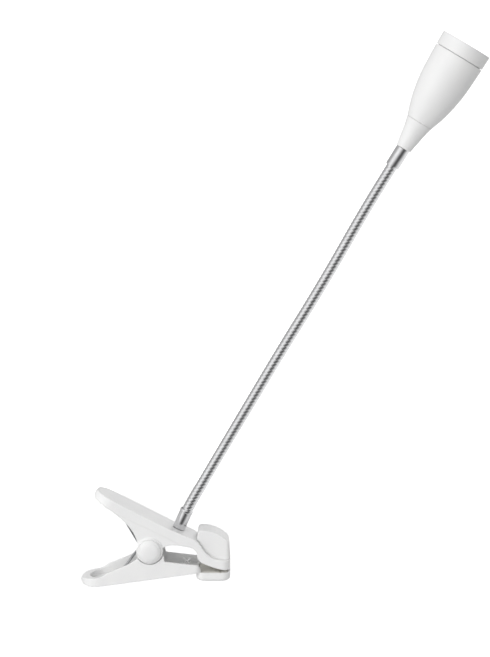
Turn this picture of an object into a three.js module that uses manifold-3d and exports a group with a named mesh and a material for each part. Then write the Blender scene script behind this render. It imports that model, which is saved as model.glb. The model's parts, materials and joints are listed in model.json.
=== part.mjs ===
// A clip-on reading lamp: a spring clip, a chrome gooseneck and a small LED head.
// Millimetres, +Z up, +X towards the jaws, Y along the clip's pivot pin.
// The origin is the middle of the lower jaw pad's gripping face.
import * as THREE from 'three';
import { mergeVertices } from 'three/addons/utils/BufferGeometryUtils.js';
import Module from 'manifold-3d';

const wasm = await Module();
wasm.setup();

// ---------------------------------------------------------------- driving dimensions

const GAP = 0.3; // kept between pieces that touch
const LONG = 200; // longer than any lever, for cutters that run right through

const lever = {
  halfWidth: 14.8,
  wall: 2.4,
  plate: 2.4, // top plate of the upper lever, floor of the lower one
  webInset: 0.4, // the web stands back from the skirt above it
};
lever.inside = lever.halfWidth - lever.wall;

const pivot = { x: -49, z: 17.8, pinRadius: 2.97, holeRadius: 3.3, earRadius: 9.2, earNear: 9.6 };
const boss = { radius: 10.3, proud: 0.6, clearance: 0.7 };
const cap = { radius: 8.9, height: 3.5 };

const jaw = { left: -13.2, right: 13.3, halfWidth: 14, corner: 6.5, bottom: -7.4, rim: -0.2 };
const pad = { rim: 1.9, floor: -3.6 }; // the pocket that the lower jaw's pad lies in
// A groove across each pad marks off the narrow strip that closes first.
const padGroove = { x: 5.6, width: 1, depth: 0.8 };
const upperPadFace = { height: 3.9, slope: 0.34 }; // its height over the origin, and its fall along X
const hood = { wall: 1.8, halfWidth: 10.2, corner: 3.5 };

const lowerHandle = { end: -103.3, slotEnd: -96 };

// The upper lever's top plate falls towards the jaws in a straight line between these two points.
const topPlate = { handle: [-87, 63], neck: [-31, 33.8] };
const plateSlope = Math.atan2(
  topPlate.handle[1] - topPlate.neck[1],
  topPlate.neck[0] - topPlate.handle[0],
);

// Leans are degrees from the vertical, towards the jaws.
const ferruleFoot = { x: -26.8, z: 32.1, lean: 24.3 };
const ferrule = { radius: 4.95, height: 16.3, bore: 4.6, lip: 0.25, seat: 3, stemRadius: 4, stemDepth: 8 };
const leadBore = 2.2;

const stubEnd = ferrule.height + 0.3; // where the gooseneck's first, fixed stretch ends
const gooseneck = { radius: 4.35, bore: 2.4, slit: 1.4, pitch: 25.64, socketDepth: 8 };
// Lean of each gooseneck segment, from the clip up, as the arm has been set by hand.
const segmentLeans = [29.9, 30, 30.2, 30.2, 30.2, 30.6, 31.4, 30.6, 29.7, 29, 30.1, 31.3];

const leadRadius = 1.5;

const upperFerrule = { radius: 5.5, height: 16, lean: 31.5 };
const spigot = { radius: 3.1, length: 8.6 }; // the threaded end of the upper ferrule, inside the head

const head = { lean: 30.7, length: 90.3, collarEnd: 22.8, bezelStart: 79.7, wall: 1.9, floor: 4 };
// A smooth curve through these points is the head's outline: [distance from its neck end, radius].
const headPoints = [[0, 6], [6, 7.1], [20, 9.8], [34, 14.4], [48, 17.5], [62, 19.05], [90.3, 20.2]];
const lensDisc = { radius: 17.8, thickness: 2.4, depth: 2.6 }; // depth is its set-back from the rim
const board = { low: 70.4, high: 72, radius: 14, screwCircle: 11, screwHole: 1.3, screws: 3 };

const spring = { wire: 1, coil: 5.3, side: 7.6, turns: 5 };
// Where the spring's two legs end, against the inside of each lever.
const springEnds = { upper: [-74.5, 51.6], lower: [-72, -5.1] };

const gland = { x: -30.5, z: 26, bore: 1.8, barrel: 2.5, hole: 2.8, flange: 3.6, inner: 4, length: 9 };

const rings = 36; // sides of the large round pieces
const smallRings = 20; // sides of the small ones
const thinRings = 16; // sides of the gooseneck

// ---------------------------------------------------------------- materials

function plastic(color, roughness) {
  return new THREE.MeshStandardMaterial({ color, roughness, metalness: 0 });
}

function metal(color, roughness) {
  return new THREE.MeshStandardMaterial({ color, roughness, metalness: 1 });
}

const whitePlastic = () => plastic(0xf2f2f0, 0.35);
const greyRubber = () => plastic(0x77756f, 0.8);
const blackPlastic = () => plastic(0x202020, 0.5);
const chrome = () => metal(0xd0d0d2, 0.12);
const zincSteel = () => metal(0x9a9c9e, 0.35);
const aluminium = () => metal(0xc4c6c8, 0.4);

// ---------------------------------------------------------------- helpers

function degrees(angle) {
  return THREE.MathUtils.degToRad(angle);
}

// A closed three.js geometry as a solid that can be cut and joined.
function solid(geometry) {
  const bare = geometry.clone();
  bare.deleteAttribute('normal');
  bare.deleteAttribute('uv');
  const merged = mergeVertices(bare, 1e-4);
  return new wasm.Manifold(
    new wasm.Mesh({
      numProp: 3,
      vertProperties: merged.attributes.position.array,
      triVerts: new Uint32Array(merged.index.array),
    }),
  );
}

function geometryOf(made) {
  const mesh = made.getMesh();
  const geometry = new THREE.BufferGeometry();
  geometry.setAttribute('position', new THREE.BufferAttribute(mesh.vertProperties, 3));
  geometry.setIndex(new THREE.BufferAttribute(mesh.triVerts, 1));
  return geometry;
}

// A shape's geometry is shaded flat, so that facets show as they are.
function piece(name, shape, material) {
  const geometry = shape.isBufferGeometry ? shape : geometryOf(shape);
  geometry.computeVertexNormals();
  const mesh = new THREE.Mesh(geometry, material);
  mesh.name = name;
  mesh.material.flatShading = true;
  return mesh;
}

function polygon(points) {
  return new THREE.Shape(points.map(([a, b]) => new THREE.Vector2(a, b)));
}

// A shape drawn in X and Z, extruded along Y from one y to another.
function sideSlab(shape, fromY, toY, curveSegments = 6) {
  const geometry = new THREE.ExtrudeGeometry(shape, {
    depth: toY - fromY,
    bevelEnabled: false,
    curveSegments,
  });
  return geometry.rotateX(Math.PI / 2).translate(0, toY, 0);
}

// A shape drawn in X and Y, extruded along Z from one z to another.
function planSlab(shape, fromZ, toZ, curveSegments = 8) {
  return new THREE.ExtrudeGeometry(shape, {
    depth: toZ - fromZ,
    bevelEnabled: false,
    curveSegments,
  }).translate(0, 0, fromZ);
}

// A round bar along Y through a point of the XZ plane.
function crossBar(x, z, radius, fromY, toY, sides = smallRings) {
  const bar = new THREE.CylinderGeometry(radius, radius, toY - fromY, sides);
  return bar.translate(x, (fromY + toY) / 2, z);
}

// A round bar along Z.
function uprightBar(radius, fromZ, toZ, sides = smallRings) {
  const bar = new THREE.CylinderGeometry(radius, radius, toZ - fromZ, sides);
  return bar.rotateX(Math.PI / 2).translate(0, 0, (fromZ + toZ) / 2);
}

// A closed profile of [radius, height] points, counter-clockwise seen from +Y, turned about Z.
function turned(profile, sides = smallRings) {
  const points = [...profile, profile[0]].map(([r, z]) => new THREE.Vector2(r, z));
  return new THREE.LatheGeometry(points, sides).rotateX(Math.PI / 2);
}

function tube(outer, inner, fromZ, toZ, sides = smallRings) {
  return turned([[inner, fromZ], [outer, fromZ], [outer, toZ], [inner, toZ]], sides);
}

// A wire along a curve: its section is a polygon of so many sides.
function wire(curve, radius, sides, steps) {
  const section = new THREE.Shape();
  section.absarc(0, 0, radius, 0, 2 * Math.PI, false);
  return new THREE.ExtrudeGeometry(section, {
    steps,
    curveSegments: sides / 2, // a full circle gets two points for each of these
    extrudePath: curve,
    bevelEnabled: false,
  });
}

function roundedRectangle(left, right, halfWidth, corner) {
  const shape = new THREE.Shape();
  shape.moveTo(left + corner, -halfWidth);
  shape.lineTo(right - corner, -halfWidth);
  shape.absarc(right - corner, -halfWidth + corner, corner, -Math.PI / 2, 0, false);
  shape.absarc(right - corner, halfWidth - corner, corner, 0, Math.PI / 2, false);
  shape.absarc(left + corner, halfWidth - corner, corner, Math.PI / 2, Math.PI, false);
  shape.absarc(left + corner, -halfWidth + corner, corner, Math.PI, 1.5 * Math.PI, false);
  return shape;
}

// Rounded at the handle end by a half circle, with rounded corners at the other end.
function leverPlan(left, right, halfWidth, corner) {
  const shape = new THREE.Shape();
  shape.moveTo(left + halfWidth, -halfWidth);
  shape.lineTo(right - corner, -halfWidth);
  shape.absarc(right - corner, -halfWidth + corner, corner, -Math.PI / 2, 0, false);
  shape.absarc(right - corner, halfWidth - corner, corner, 0, Math.PI / 2, false);
  shape.lineTo(left + halfWidth, halfWidth);
  shape.absarc(left + halfWidth, 0, halfWidth, Math.PI / 2, 1.5 * Math.PI, false);
  return shape;
}

function both(make) {
  return make(-1).add(make(1));
}

// The stretch of Y from |y| = near to |y| = far, on the side that sign picks.
function stretch(sign, near, far) {
  return sign > 0 ? [near, far] : [-far, -near];
}

function pairSlab(shape, near, far) {
  return (sign) => solid(sideSlab(shape, ...stretch(sign, near, far)));
}

// A bar on the pivot's axis.
function pairBar(radius, near, far) {
  return (sign) => solid(crossBar(pivot.x, pivot.z, radius, ...stretch(sign, near, far), rings));
}

// ---------------------------------------------------------------- lower lever

// The lower lever seen from the side: a low, rounded handle end, a top edge that climbs to the
// pivot, a short step behind it, and a gentle fall to the jaw.
function lowerSide() {
  const shape = new THREE.Shape();
  shape.moveTo(-95.5, -11.8);
  shape.lineTo(-88, -11.2);
  shape.lineTo(-9, -0.2);
  shape.quadraticCurveTo(-10.2, 5.6, -13, 6.1);
  shape.lineTo(-37.4, 9);
  shape.lineTo(-38.3, 14.4);
  shape.lineTo(-58.7, 11.6);
  shape.quadraticCurveTo(-62.6, 7.4, -72.3, 3.8);
  shape.lineTo(-82.4, -0.4);
  shape.quadraticCurveTo(-87, -4.2, -91, -4.6);
  shape.lineTo(-97, -5.1);
  shape.quadraticCurveTo(-103.3, -5.6, -103.3, -8.6);
  shape.quadraticCurveTo(-102.6, -11.6, -95.5, -11.8);
  return shape;
}

// Everything above the floor between the two walls.
function lowerHollow() {
  const floor = lever.plate;
  return polygon([
    [-110, -14.2 + floor],
    [jaw.left + 2, -0.8 + floor],
    [jaw.left + 2, 40],
    [-110, 40],
  ]);
}

// The ear stands inside the wall and carries the pivot pin.
function lowerEar() {
  const ear = pivot.earRadius;
  const shape = new THREE.Shape();
  shape.moveTo(pivot.x - ear, -6);
  shape.lineTo(pivot.x + ear, -3.4);
  shape.lineTo(pivot.x + ear, pivot.z);
  shape.absarc(pivot.x, pivot.z, ear, 0, Math.PI, false);
  return shape;
}

// Two thin crossed ribs that stand on the floor. They cross above their middles.
function crossedRibs() {
  const crossing = { x: -20.8, y: 2.8, z: 4.4 };
  const rib = { length: 10, width: 1.6, thickness: 0.9, drop: 1 };
  const bar = (sign) =>
    solid(
      new THREE.BoxGeometry(rib.length, rib.width, rib.thickness)
        .translate(sign * rib.drop, 0, 0)
        .rotateY((sign * Math.PI) / 4)
        .translate(crossing.x, crossing.y, crossing.z),
    );
  return both(bar);
}

function jawFoot() {
  const plan = roundedRectangle(jaw.left, jaw.right, jaw.halfWidth, jaw.corner);
  return solid(planSlab(plan, jaw.bottom, jaw.rim));
}

// The room inside the lower jaw's rim, from one height to another, with its edge moved in by inset.
function padRoom(inset, fromZ, toZ) {
  const rim = pad.rim + inset;
  const plan = roundedRectangle(jaw.left + rim, jaw.right - rim, jaw.halfWidth - rim, jaw.corner - rim);
  return solid(planSlab(plan, fromZ, toZ));
}

function lowerLever() {
  const { halfWidth, inside } = lever;
  const plan = leverPlan(lowerHandle.end, jaw.left + 4, halfWidth, 5);
  const body = solid(sideSlab(lowerSide(), -halfWidth, halfWidth)).intersect(
    solid(planSlab(plan, -LONG, LONG)),
  );
  const hollowPlan = leverPlan(lowerHandle.slotEnd, jaw.left + 2, inside, 2);
  const hollow = solid(sideSlab(lowerHollow(), -inside, inside)).intersect(
    solid(planSlab(hollowPlan, -LONG, LONG)),
  );
  const earFar = inside + 0.2; // a little way into the wall, to be one with it
  const bossPocket = both(pairBar(boss.radius + boss.clearance, inside - GAP, LONG));
  return body
    .subtract(hollow)
    .add(jawFoot())
    .add(both(pairSlab(lowerEar(), pivot.earNear, earFar)))
    .add(crossedRibs())
    .subtract(bossPocket)
    .subtract(solid(crossBar(pivot.x, pivot.z, pivot.holeRadius, -LONG, LONG)))
    .subtract(padRoom(0, pad.floor, LONG));
}

// A bar across a pad, as the cutter for its groove: it lies on the face at a height and a lean.
function grooveCutter(height, lean) {
  const { x, width, depth } = padGroove;
  return solid(
    new THREE.BoxGeometry(width, LONG, 2 * depth).rotateY(degrees(lean)).translate(x, 0, height),
  );
}

function lowerJawPad() {
  return padRoom(GAP, pad.floor + GAP, 0).subtract(grooveCutter(0, 0));
}

// ---------------------------------------------------------------- upper lever

// The skirt band: it runs straight along the handle and curves down round the jaw to its tip.
function bandSide() {
  const shape = new THREE.Shape();
  shape.moveTo(...topPlate.handle);
  shape.lineTo(...topPlate.neck);
  shape.lineTo(-18, 28.2);
  shape.quadraticCurveTo(-11.4, 25.6, -8.8, 20.4);
  shape.quadraticCurveTo(-4.8, 13.4, 1.5, 10.7);
  shape.quadraticCurveTo(6, 9.6, jaw.right, 9.3);
  shape.lineTo(jaw.right, 1.6);
  shape.lineTo(8.8, 1.9);
  shape.quadraticCurveTo(0, 3.6, -8.4, 7.7);
  shape.quadraticCurveTo(-12, 9.8, -12.4, 13.4);
  shape.quadraticCurveTo(-12.6, 18.4, -18, 20.2);
  shape.lineTo(-23.1, 21.1);
  shape.lineTo(-36.2, 29);
  shape.lineTo(-77.5, 48.6);
  shape.lineTo(-89.6, 56.8);
  shape.quadraticCurveTo(-92.3, 57.4, -92.3, 59.8);
  shape.quadraticCurveTo(-90.6, 65, ...topPlate.handle);
  return shape;
}

// What lies under the top plate and between the skirts.
function bandHollow() {
  const down = lever.plate / Math.cos(plateSlope);
  const shape = new THREE.Shape();
  shape.moveTo(-LONG, topPlate.neck[1] - down + (LONG + topPlate.neck[0]) * Math.tan(plateSlope));
  shape.lineTo(topPlate.neck[0], topPlate.neck[1] - down);
  shape.lineTo(-19, 25.7);
  shape.quadraticCurveTo(-13.2, 23.4, -10.9, 19);
  shape.quadraticCurveTo(-6.6, 11.4, 0.8, 8.4);
  shape.quadraticCurveTo(5, 7.4, jaw.right - 2, 7);
  shape.lineTo(jaw.right - 2, -20);
  shape.lineTo(-LONG, -20);
  return shape;
}

// The web hangs from the skirt to the pivot boss.
function webSide() {
  const shape = new THREE.Shape();
  shape.moveTo(-74, 50);
  shape.lineTo(-77, 48.4);
  shape.lineTo(-68.4, 40.8);
  shape.quadraticCurveTo(-59.6, 32.4, pivot.x - boss.radius + 1.4, 22);
  shape.lineTo(pivot.x, pivot.z);
  shape.lineTo(pivot.x + boss.radius - 1, 19);
  shape.quadraticCurveTo(-36, 22, -30, 21.9);
  shape.lineTo(-21.6, 21.1);
  shape.lineTo(-18, 26);
  return shape;
}

// The plan of the upper lever, drawn along its sloping handle, with its edge moved in by inset.
function handlePlan(inset) {
  const tip = new THREE.Vector3(-92, 0, 60);
  const shape = leverPlan(inset, LONG, lever.halfWidth - inset, 1);
  return planSlab(shape, -LONG, LONG).rotateY(plateSlope).translate(tip.x, tip.y, tip.z);
}

// Only the jaw end has rounded corners here; the handle end runs on past its tip.
function jawPlan(inset) {
  const shape = new THREE.Shape();
  const reach = jaw.right - inset;
  const side = jaw.halfWidth - inset;
  const neck = lever.halfWidth - inset;
  const corner = jaw.corner - inset;
  shape.moveTo(-LONG, -neck);
  shape.lineTo(-20, -neck);
  shape.lineTo(-8, -side);
  shape.lineTo(reach - corner, -side);
  shape.absarc(reach - corner, -side + corner, corner, -Math.PI / 2, 0, false);
  shape.absarc(reach - corner, side - corner, corner, 0, Math.PI / 2, false);
  shape.lineTo(-8, side);
  shape.lineTo(-20, neck);
  shape.lineTo(-LONG, neck);
  return planSlab(shape, -LONG, LONG);
}

// A bar along the ferrule's own axis, from one distance above the top plate to another.
function ferruleBar(radius, from, to, sides = smallRings) {
  return uprightBar(radius, from, to, sides)
    .rotateY(degrees(ferruleFoot.lean))
    .translate(ferruleFoot.x, 0, ferruleFoot.z);
}

function upperLever() {
  const { halfWidth, inside, webInset } = lever;
  const outer = solid(sideSlab(bandSide(), -halfWidth, halfWidth))
    .intersect(solid(handlePlan(0)))
    .intersect(solid(jawPlan(0)));
  const hollow = solid(sideSlab(bandHollow(), -inside, inside))
    .intersect(solid(handlePlan(lever.wall)))
    .intersect(solid(jawPlan(lever.wall)));
  const stemHole = solid(ferruleBar(ferrule.stemRadius + GAP, -ferrule.stemDepth, ferrule.height));
  return outer
    .subtract(hollow)
    .add(both(pairSlab(webSide(), inside, halfWidth - webInset)))
    .add(both(pairBar(boss.radius, inside, halfWidth + boss.proud)))
    .subtract(solid(crossBar(pivot.x, pivot.z, pivot.holeRadius, -LONG, LONG)))
    .subtract(solid(crossBar(gland.x, gland.z, gland.hole, 0, LONG)))
    .subtract(stemHole);
}

// The rubber block in the upper jaw: its gripping face slopes, so that it lies flat on a thick shelf.
function upperJawPad() {
  const shape = new THREE.Shape();
  const face = (x) => upperPadFace.height - upperPadFace.slope * x;
  const [left, right] = [-8.2, 10.2];
  shape.moveTo(left, face(left));
  shape.lineTo(right, face(right));
  shape.lineTo(right, 6.4);
  shape.quadraticCurveTo(4.6, 6.8, 0.5, 8);
  shape.quadraticCurveTo(-4.4, 9.9, left, 14);
  const lean = THREE.MathUtils.radToDeg(Math.atan(upperPadFace.slope));
  return solid(sideSlab(shape, -LONG, LONG))
    .intersect(solid(jawPlan(lever.wall + GAP)))
    .subtract(grooveCutter(face(padGroove.x), lean));
}

// ---------------------------------------------------------------- jaw hood

// A hollow cover on the upper jaw, open underneath.
function hoodSide(inset) {
  const shape = new THREE.Shape();
  shape.moveTo(-11.6 + inset, 24.9 + GAP);
  shape.lineTo(-10.9 + inset, 29.4);
  shape.quadraticCurveTo(-10.4 + inset, 32 - inset, -7.6, 32 - inset);
  shape.quadraticCurveTo(3, 32 - inset, 11 - inset / 2, 24.6 - inset);
  shape.quadraticCurveTo(12.4 - inset, 23.2 - inset, 12.6 - inset, 20);
  shape.lineTo(jaw.right - inset, 9.9);
  shape.quadraticCurveTo(6, 10.2, 1.7, 11.2);
  shape.quadraticCurveTo(-4.3, 13.9, -8.4, 20.8);
  shape.quadraticCurveTo(-9.5, 23, -11.6 + inset, 24.9 + GAP);
  return shape;
}

function hoodPlan(inset) {
  const left = jaw.left - 1; // a little behind the hood's back, so that its back corners stay square
  const { halfWidth, corner } = hood;
  return roundedRectangle(left + inset, jaw.right - inset, halfWidth - inset, corner - inset);
}

function jawHood() {
  const { wall } = hood;
  const block = (inset) =>
    solid(sideSlab(hoodSide(inset), -LONG, LONG)).intersect(
      solid(planSlab(hoodPlan(inset), -LONG, LONG)),
    );
  const outer = block(0);
  const inner = block(wall);
  // The same room once more, lower, opens the hood's underside.
  const mouth = inner.translate([0, 0, -1.5 * wall]);
  return outer.subtract(inner).subtract(mouth);
}

// ---------------------------------------------------------------- pivot and spring

function pivotPin() {
  const reach = lever.halfWidth + boss.proud;
  return crossBar(pivot.x, pivot.z, pivot.pinRadius, -reach, reach);
}

// A domed cap with a bevelled rim, on the outside of each boss.
function pivotCap(sign) {
  const { radius, height } = cap;
  const bevel = 1.2;
  const dome = turned(
    [
      [0, 0],
      [radius, 0],
      [radius, height - 2.5],
      [radius - bevel, height - 1.3],
      [5.5, height - 0.5],
      [2.8, height - 0.1],
      [0, height],
    ],
    rings,
  );
  const foot = lever.halfWidth + boss.proud + GAP;
  return dome.rotateX((-sign * Math.PI) / 2).translate(pivot.x, sign * foot, pivot.z);
}

// The angle on the coil at which a straight leg to a point touches it.
function tangentAngle([x, z], turnSign) {
  const [dx, dz] = [x - pivot.x, z - pivot.z];
  return Math.atan2(dz, dx) + turnSign * Math.acos(spring.coil / Math.hypot(dx, dz));
}

// One wire: a leg up to the upper lever's plate, the coil round the pin, a leg down to the floor.
function torsionSpring() {
  const start = tangentAngle(springEnds.upper, 1);
  const stop = tangentAngle(springEnds.lower, -1) + 2 * Math.PI * (spring.turns + 1);
  const perTurn = 16; // straight steps in each turn
  const steps = Math.round((perTurn * (stop - start)) / (2 * Math.PI));
  const points = [new THREE.Vector3(springEnds.upper[0], -spring.side, springEnds.upper[1])];
  for (let i = 0; i <= steps; i += 1) {
    const share = i / steps;
    const angle = start + share * (stop - start);
    points.push(
      new THREE.Vector3(
        pivot.x + spring.coil * Math.cos(angle),
        spring.side * (2 * share - 1),
        pivot.z + spring.coil * Math.sin(angle),
      ),
    );
  }
  points.push(new THREE.Vector3(springEnds.lower[0], spring.side, springEnds.lower[1]));
  const path = new THREE.CurvePath();
  for (let i = 1; i < points.length; i += 1) {
    path.add(new THREE.LineCurve3(points[i - 1], points[i]));
  }
  return wire(path, spring.wire, 6, 110);
}

// ---------------------------------------------------------------- ferrules and fasteners

// The chrome socket on the clip, with a rolled lip and a threaded stem through the top plate.
function lowerFerrule() {
  const { radius, height, bore, lip, seat, stemRadius, stemDepth } = ferrule;
  return turned([
    [leadBore, -stemDepth],
    [stemRadius, -stemDepth],
    [stemRadius, GAP],
    [radius, GAP],
    [radius, height - 2.4],
    [radius + lip, height - 1.8],
    [radius + lip, height - 0.6],
    [radius - 0.1, height],
    [bore, height],
    [bore, seat],
    [leadBore, seat],
  ]);
}

function hexNut(acrossFlats, bore, fromZ, toZ) {
  const corner = acrossFlats / Math.sqrt(3);
  const nut = new THREE.CylinderGeometry(corner, corner, toZ - fromZ, 6);
  const body = solid(nut.rotateX(Math.PI / 2).translate(0, 0, (fromZ + toZ) / 2));
  return body.subtract(solid(uprightBar(bore, fromZ - 1, toZ + 1)));
}

// The gland's barrel lies in the far web, its flange and tapered nose outside it.
function cordGland() {
  const { bore, barrel, inner, length, flange } = gland;
  const body = turned([
    [bore, 0],
    [barrel, 0],
    [barrel, inner],
    [flange, inner],
    [flange, inner + 1.4],
    [barrel + 0.3, length],
    [bore, length],
  ]);
  return body.rotateX(-Math.PI / 2).translate(gland.x, lever.halfWidth - inner + GAP, gland.z);
}

// The lead from the ferrule's stem to the gland, inside the upper lever.
function leverLead() {
  const stemEnd = onward(ferruleFoot, -ferrule.stemDepth - 2 * GAP, ferruleFoot.lean);
  const glandEnd = lever.halfWidth - gland.inner - 2 * GAP;
  const path = new THREE.CatmullRomCurve3([
    new THREE.Vector3(stemEnd.x, 0, stemEnd.z),
    new THREE.Vector3(stemEnd.x - 0.7, 1.2, stemEnd.z - 2.4),
    new THREE.Vector3(gland.x - 0.2, 6, gland.z - 2.6),
    new THREE.Vector3(gland.x, glandEnd, gland.z),
  ]);
  return wire(path, leadRadius, 8, 10);
}

// ---------------------------------------------------------------- gooseneck

function gooseneckTube(from, to) {
  return tube(gooseneck.radius, gooseneck.bore, from, to, thinRings);
}

function leadTube(from, to) {
  return uprightBar(leadRadius, from, to, 8);
}

// ---------------------------------------------------------------- lamp head

const headCurve = new THREE.SplineCurve(headPoints.map(([d, r]) => new THREE.Vector2(d, r)))
  .getPoints(2 * (headPoints.length - 1))
  .map((point) => [point.x, point.y]);

// The outer radius at a distance from the neck end.
function headRadius(distance) {
  const after = Math.max(1, headCurve.findIndex(([d]) => d >= distance));
  const [d0, r0] = headCurve[after - 1];
  const [d1, r1] = headCurve[after];
  return r0 + ((distance - d0) / (d1 - d0)) * (r1 - r0);
}

// The head's outline between two distances, with the points of its curve between them.
function headOutline(from, to) {
  const between = headCurve.filter(([d]) => d > from && d < to);
  const points = [[from, headRadius(from)], ...between, [to, headRadius(to)]];
  return points.map(([d, r]) => [r, d]);
}

// The neck of the head: a floor with the ferrule's spigot through it, and a lip into the shell.
function headCollar() {
  const top = head.collarEnd;
  const lip = 3;
  const lipWall = 1.2;
  const nutRoom = 5.2;
  const hole = spigot.radius + GAP;
  const lipRadius = headRadius(top) - head.wall;
  return turned(
    [
      [hole, 0],
      ...headOutline(0, top),
      [lipRadius, top],
      [lipRadius, top + lip],
      [lipRadius - lipWall, top + lip],
      [lipRadius - lipWall, top - 2],
      [nutRoom, 9],
      [nutRoom, head.floor],
      [hole, head.floor],
    ],
    rings,
  );
}

function headShell() {
  const outline = headOutline(head.collarEnd + GAP, head.bezelStart - GAP);
  const inside = outline.map(([r, d]) => [r - head.wall + GAP, d]).reverse();
  return turned([...outline, ...inside], rings);
}

// The front ring: a skirt into the shell, and a groove that the lens snaps into.
function bezelRing() {
  const { bezelStart: low, length: top } = head;
  const skirt = headRadius(low) - head.wall;
  const outer = headRadius(low) - 0.1;
  const seat = 16.4;
  const groove = lensDisc.radius + 0.4;
  const rim = 17.2;
  return turned(
    [
      [seat, low - 5],
      [skirt, low - 5],
      [skirt, low],
      [outer, low],
      [outer + 0.3, top - 0.4],
      [outer, top],
      [rim, top],
      [rim, top - 1.4],
      [groove, top - 2.2],
      [groove, top - 6.4],
      [seat, top - 6.4],
    ],
    rings,
  );
}

function lens() {
  const { radius, thickness, depth } = lensDisc;
  const top = head.length - depth;
  return turned(
    [
      [0, top - thickness],
      [radius, top - thickness],
      [radius, top - 0.4],
      [12, top - 0.2],
      [0, top],
    ],
    rings,
  );
}

// A thin flared cup round the LED, from just above the board to just under the lens.
function reflector() {
  const low = board.high + 1;
  const top = head.length - 7;
  return turned(
    [
      [3.6, low],
      [4.6, low],
      [10.4, low + 3.4],
      [15.8, top - 0.4],
      [15.8, top],
      [14.8, top],
      [9.4, low + 3.8],
    ],
    rings,
  );
}

function ledBoard() {
  return solid(uprightBar(board.radius, board.low, board.high)).subtract(boardHoles());
}

// Where screw number index stands, as a shift from the head's axis.
function screwShift(index) {
  const angle = degrees(90 + (360 * index) / board.screws);
  return [board.screwCircle * Math.cos(angle), board.screwCircle * Math.sin(angle), 0];
}

function boardHoles() {
  const deep = 12;
  const holes = [];
  for (let i = 0; i < board.screws; i += 1) {
    const hole = uprightBar(board.screwHole, board.low - deep, board.high + deep, 12);
    holes.push(solid(hole.translate(...screwShift(i))));
  }
  return holes.reduce((all, next) => all.add(next));
}

// The screws hold the board on the heat sink, through both.
function boardScrew(index) {
  const end = board.high - 6;
  const under = board.high + GAP;
  const screw = turned(
    [[0, end], [1, end], [1, under], [2, under], [2, under + 0.7], [1.2, under + 1.3], [0, under + 1.3]],
    12,
  );
  return screw.translate(...screwShift(index));
}

function ledChip() {
  const side = 5;
  const low = board.high + GAP;
  const base = new THREE.BoxGeometry(side, side, 1).translate(0, 0, low + 0.5);
  const dome = turned(
    [[0, low + 0.7], [1.9, low + 0.7], [1.9, low + 1.3], [1.4, low + 2.3], [0, low + 2.8]],
    thinRings,
  );
  return solid(base).add(solid(dome));
}

// A finned disc behind the board, open in the middle for the lead.
function heatSink() {
  const fin = { count: 8, length: 11, thickness: 1.4, height: 9, middle: 9.6 };
  const top = board.low - GAP;
  const plateUnder = top - 3.3;
  const parts = [solid(tube(5, leadBore, top - 14, plateUnder + 0.2))];
  for (let i = 0; i < fin.count; i += 1) {
    const blade = new THREE.BoxGeometry(fin.length, fin.thickness, fin.height)
      .translate(fin.middle, 0, plateUnder + 0.3 - fin.height / 2)
      .rotateZ(degrees((360 * (i + 0.5)) / fin.count));
    parts.push(solid(blade));
  }
  const plate = solid(tube(16.2, leadBore, plateUnder, top, rings));
  return parts.reduce((all, next) => all.add(next), plate).subtract(boardHoles());
}

function upperFerruleSocket() {
  const { radius, height } = upperFerrule;
  const bore = gooseneck.radius + 0.25;
  const seat = gooseneck.socketDepth + 1;
  return turned([
    [bore, 0],
    [radius - 0.2, 0],
    [radius, 0.6],
    [radius, height - GAP],
    [spigot.radius, height - GAP],
    [spigot.radius, height + spigot.length],
    [leadBore, height + spigot.length],
    [leadBore, seat],
    [bore, seat],
  ]);
}

// ---------------------------------------------------------------- assembly

// The place some length on from another, along a lean.
function onward({ x, z }, length, lean) {
  return { x: x + length * Math.sin(degrees(lean)), z: z + length * Math.cos(degrees(lean)) };
}

function addAt(parent, child, place, lean) {
  child.position.set(place.x, 0, place.z);
  child.rotation.y = degrees(lean);
  parent.add(child);
}

function buildClip() {
  const clip = new THREE.Group();
  clip.add(
    piece('lower_lever', lowerLever(), whitePlastic()),
    piece('lower_jaw_pad', lowerJawPad(), greyRubber()),
    piece('pivot_pin', pivotPin(), zincSteel()),
    piece('pivot_cap_near', pivotCap(-1), whitePlastic()),
    piece('pivot_cap_far', pivotCap(1), whitePlastic()),
    piece('torsion_spring', torsionSpring(), zincSteel()),
    piece('upper_lever', upperLever(), whitePlastic()),
    piece('upper_jaw_pad', upperJawPad(), greyRubber()),
    piece('jaw_hood', jawHood(), whitePlastic()),
    piece('cord_gland', cordGland(), blackPlastic()),
    piece('lever_lead', leverLead(), blackPlastic()),
  );
  return clip;
}

// The lower ferrule's group has its origin on the top plate and its Z along the ferrule.
function buildLowerFerrule() {
  const group = new THREE.Group();
  const under = -lever.plate - 2 * GAP;
  const hole = ferrule.stemRadius + GAP;
  group.add(
    piece('lower_ferrule', lowerFerrule(), chrome()),
    piece('ferrule_washer', tube(6.4, hole, under - 1, under), zincSteel()),
    piece('ferrule_nut', hexNut(11, hole, under - 4.3, under - 1 - GAP), zincSteel()),
    piece('gooseneck_00', gooseneckTube(ferrule.seat + GAP, stubEnd), chrome()),
    piece('lead_00', leadTube(-ferrule.stemDepth, stubEnd), blackPlastic()),
  );
  return group;
}

// Each segment turns about a joint at the middle of the slit below it.
function buildSegment(index) {
  const group = new THREE.Group();
  const last = index === segmentLeans.length;
  const label = String(index).padStart(2, '0');
  const from = gooseneck.slit / 2;
  const end = last ? gooseneck.pitch + gooseneck.socketDepth : gooseneck.pitch - from;
  const leadEnd = last ? gooseneck.pitch + upperFerrule.height + spigot.length + 0.4 : end;
  group.add(
    piece('gooseneck_' + label, gooseneckTube(from, end), chrome()),
    piece('lead_' + label, leadTube(from, leadEnd), blackPlastic()),
  );
  return group;
}

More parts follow.
